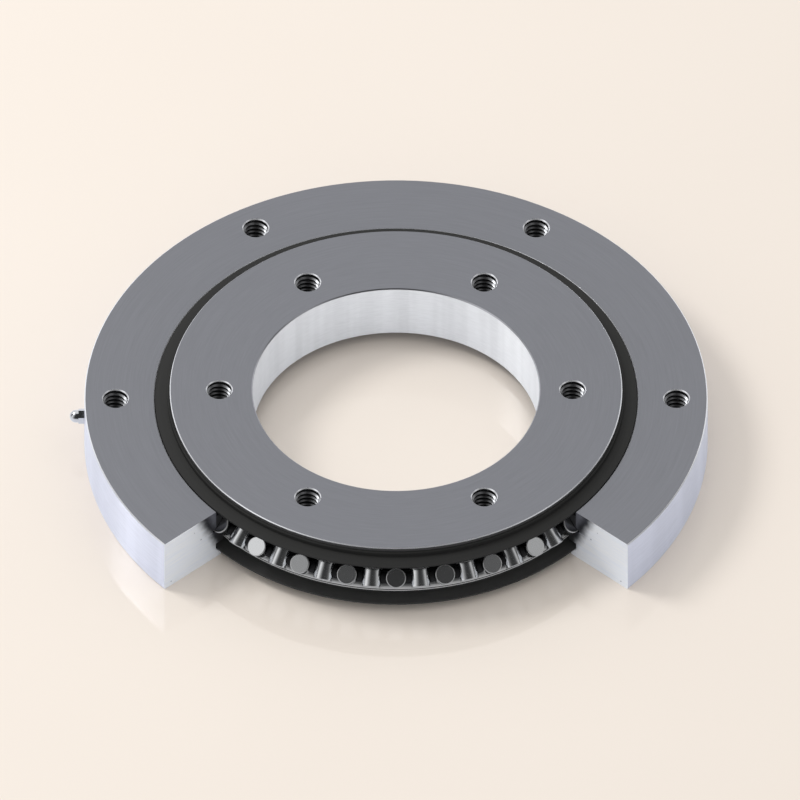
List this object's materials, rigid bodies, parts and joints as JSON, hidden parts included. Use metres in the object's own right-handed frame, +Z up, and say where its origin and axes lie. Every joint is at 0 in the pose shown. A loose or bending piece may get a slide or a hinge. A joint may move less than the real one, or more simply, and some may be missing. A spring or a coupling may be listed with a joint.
{
  "type": "crossed roller bearing",
  "caption": "Flat steel crossed roller bearing with bolt holes in both rings, black lip seals, a grease nipple and a cut-out in the outer ring that shows the rollers.",
  "frame": {"origin": "on the bearing's axis, in the plane of the roller centres", "axes": "+Z up along the bearing's axis, towards the raised face of the inner ring; -Y towards the cut-out; the grease nipple points along -X"},
  "size_m": [0.307, 0.267, 0.036],
  "materials": {
    "ring_steel": "fine ground",
    "plug_steel": "fine ground",
    "pin_steel": "ground",
    "roller_steel": "polished",
    "nipple_steel": "bright plated",
    "ball_steel": "polished",
    "seal_rubber": "satin",
    "spacer_plastic": "matte"
  },
  "bodies": {
    "outer": {"outer_ring": "ring_steel", "filling_plug": "plug_steel", "plug_pin": "pin_steel", "nipple_body": "nipple_steel", "nipple_ball": "ball_steel"},
    "inner": {"inner_ring": "ring_steel", "upper_seal": "seal_rubber", "lower_seal": "seal_rubber"},
    "roller_set": {"roller_spacers": "spacer_plastic", "hidden_rising_rollers": "roller_steel", "hidden_dipping_rollers": "roller_steel"},
    "rising_roller_1": {"rising_roller_1": "roller_steel"},
    "dipping_roller_1": {"dipping_roller_1": "roller_steel"},
    "rising_roller_2": {"rising_roller_2": "roller_steel"},
    "dipping_roller_2": {"dipping_roller_2": "roller_steel"},
    "rising_roller_3": {"rising_roller_3": "roller_steel"},
    "dipping_roller_3": {"dipping_roller_3": "roller_steel"},
    "rising_roller_4": {"rising_roller_4": "roller_steel"},
    "dipping_roller_4": {"dipping_roller_4": "roller_steel"},
    "rising_roller_5": {"rising_roller_5": "roller_steel"},
    "dipping_roller_5": {"dipping_roller_5": "roller_steel"},
    "rising_roller_6": {"rising_roller_6": "roller_steel"},
    "dipping_roller_6": {"dipping_roller_6": "roller_steel"},
    "rising_roller_7": {"rising_roller_7": "roller_steel"},
    "dipping_roller_7": {"dipping_roller_7": "roller_steel"},
    "rising_roller_8": {"rising_roller_8": "roller_steel"},
    "dipping_roller_8": {"dipping_roller_8": "roller_steel"},
    "rising_roller_9": {"rising_roller_9": "roller_steel"}
  },
  "joints": [
    {"name": "ring_turn", "type": "hinge", "parent": "outer", "child": "inner", "pos_m": [0, 0, 0], "axis": [0, 0, 1], "continuous": true},
    {"name": "roller_orbit", "type": "hinge", "parent": "outer", "child": "roller_set", "pos_m": [0, 0, 0], "axis": [0, 0, 1], "continuous": true},
    {"name": "rising_roller_1_spin", "type": "hinge", "parent": "roller_set", "child": "rising_roller_1", "pos_m": [-0.08249, -0.07427, 0], "axis": [-0.5255, -0.4731, 0.7071], "continuous": true},
    {"name": "dipping_roller_1_spin", "type": "hinge", "parent": "roller_set", "child": "dipping_roller_1", "pos_m": [-0.07427, -0.08249, 0], "axis": [-0.4731, -0.5255, -0.7071], "continuous": true},
    {"name": "rising_roller_2_spin", "type": "hinge", "parent": "roller_set", "child": "rising_roller_2", "pos_m": [-0.06524, -0.0898, 0], "axis": [-0.4156, -0.5721, 0.7071], "continuous": true},
    {"name": "dipping_roller_2_spin", "type": "hinge", "parent": "roller_set", "child": "dipping_roller_2", "pos_m": [-0.0555, -0.09613, 0], "axis": [-0.3536, -0.6124, -0.7071], "continuous": true},
    {"name": "rising_roller_3_spin", "type": "hinge", "parent": "roller_set", "child": "rising_roller_3", "pos_m": [-0.04515, -0.1014, 0], "axis": [-0.2876, -0.646, 0.7071], "continuous": true},
    {"name": "dipping_roller_3_spin", "type": "hinge", "parent": "roller_set", "child": "dipping_roller_3", "pos_m": [-0.0343, -0.10557, 0], "axis": [-0.2185, -0.6725, -0.7071], "continuous": true},
    {"name": "rising_roller_4_spin", "type": "hinge", "parent": "roller_set", "child": "rising_roller_4", "pos_m": [-0.02308, -0.10857, 0], "axis": [-0.147, -0.6917, 0.7071], "continuous": true},
    {"name": "dipping_roller_4_spin", "type": "hinge", "parent": "roller_set", "child": "dipping_roller_4", "pos_m": [-0.0116, -0.11039, 0], "axis": [-0.0739, -0.7032, -0.7071], "continuous": true},
    {"name": "rising_roller_5_spin", "type": "hinge", "parent": "roller_set", "child": "rising_roller_5", "pos_m": [0, -0.111, 0], "axis": [0, -0.7071, 0.7071], "continuous": true},
    {"name": "dipping_roller_5_spin", "type": "hinge", "parent": "roller_set", "child": "dipping_roller_5", "pos_m": [0.0116, -0.11039, 0], "axis": [0.0739, -0.7032, -0.7071], "continuous": true},
    {"name": "rising_roller_6_spin", "type": "hinge", "parent": "roller_set", "child": "rising_roller_6", "pos_m": [0.02308, -0.10857, 0], "axis": [0.147, -0.6917, 0.7071], "continuous": true},
    {"name": "dipping_roller_6_spin", "type": "hinge", "parent": "roller_set", "child": "dipping_roller_6", "pos_m": [0.0343, -0.10557, 0], "axis": [0.2185, -0.6725, -0.7071], "continuous": true},
    {"name": "rising_roller_7_spin", "type": "hinge", "parent": "roller_set", "child": "rising_roller_7", "pos_m": [0.04515, -0.1014, 0], "axis": [0.2876, -0.646, 0.7071], "continuous": true},
    {"name": "dipping_roller_7_spin", "type": "hinge", "parent": "roller_set", "child": "dipping_roller_7", "pos_m": [0.0555, -0.09613, 0], "axis": [0.3536, -0.6124, -0.7071], "continuous": true},
    {"name": "rising_roller_8_spin", "type": "hinge", "parent": "roller_set", "child": "rising_roller_8", "pos_m": [0.06524, -0.0898, 0], "axis": [0.4156, -0.5721, 0.7071], "continuous": true},
    {"name": "dipping_roller_8_spin", "type": "hinge", "parent": "roller_set", "child": "dipping_roller_8", "pos_m": [0.07427, -0.08249, 0], "axis": [0.4731, -0.5255, -0.7071], "continuous": true},
    {"name": "rising_roller_9_spin", "type": "hinge", "parent": "roller_set", "child": "rising_roller_9", "pos_m": [0.08249, -0.07427, 0], "axis": [0.5255, -0.4731, 0.7071], "continuous": true}
  ],
  "couplings": [
    {"joint": "roller_orbit", "follows": "ring_turn", "ratio": 0.48471},
    {"joint": "rising_roller_1_spin", "follows": "ring_turn", "ratio": -11.552},
    {"joint": "dipping_roller_1_spin", "follows": "ring_turn", "ratio": 11.552},
    {"joint": "rising_roller_2_spin", "follows": "ring_turn", "ratio": -11.552},
    {"joint": "dipping_roller_2_spin", "follows": "ring_turn", "ratio": 11.552},
    {"joint": "rising_roller_3_spin", "follows": "ring_turn", "ratio": -11.552},
    {"joint": "dipping_roller_3_spin", "follows": "ring_turn", "ratio": 11.552},
    {"joint": "rising_roller_4_spin", "follows": "ring_turn", "ratio": -11.552},
    {"joint": "dipping_roller_4_spin", "follows": "ring_turn", "ratio": 11.552},
    {"joint": "rising_roller_5_spin", "follows": "ring_turn", "ratio": -11.552},
    {"joint": "dipping_roller_5_spin", "follows": "ring_turn", "ratio": 11.552},
    {"joint": "rising_roller_6_spin", "follows": "ring_turn", "ratio": -11.552},
    {"joint": "dipping_roller_6_spin", "follows": "ring_turn", "ratio": 11.552},
    {"joint": "rising_roller_7_spin", "follows": "ring_turn", "ratio": -11.552},
    {"joint": "dipping_roller_7_spin", "follows": "ring_turn", "ratio": 11.552},
    {"joint": "rising_roller_8_spin", "follows": "ring_turn", "ratio": -11.552},
    {"joint": "dipping_roller_8_spin", "follows": "ring_turn", "ratio": 11.552},
    {"joint": "rising_roller_9_spin", "follows": "ring_turn", "ratio": -11.552}
  ]
}
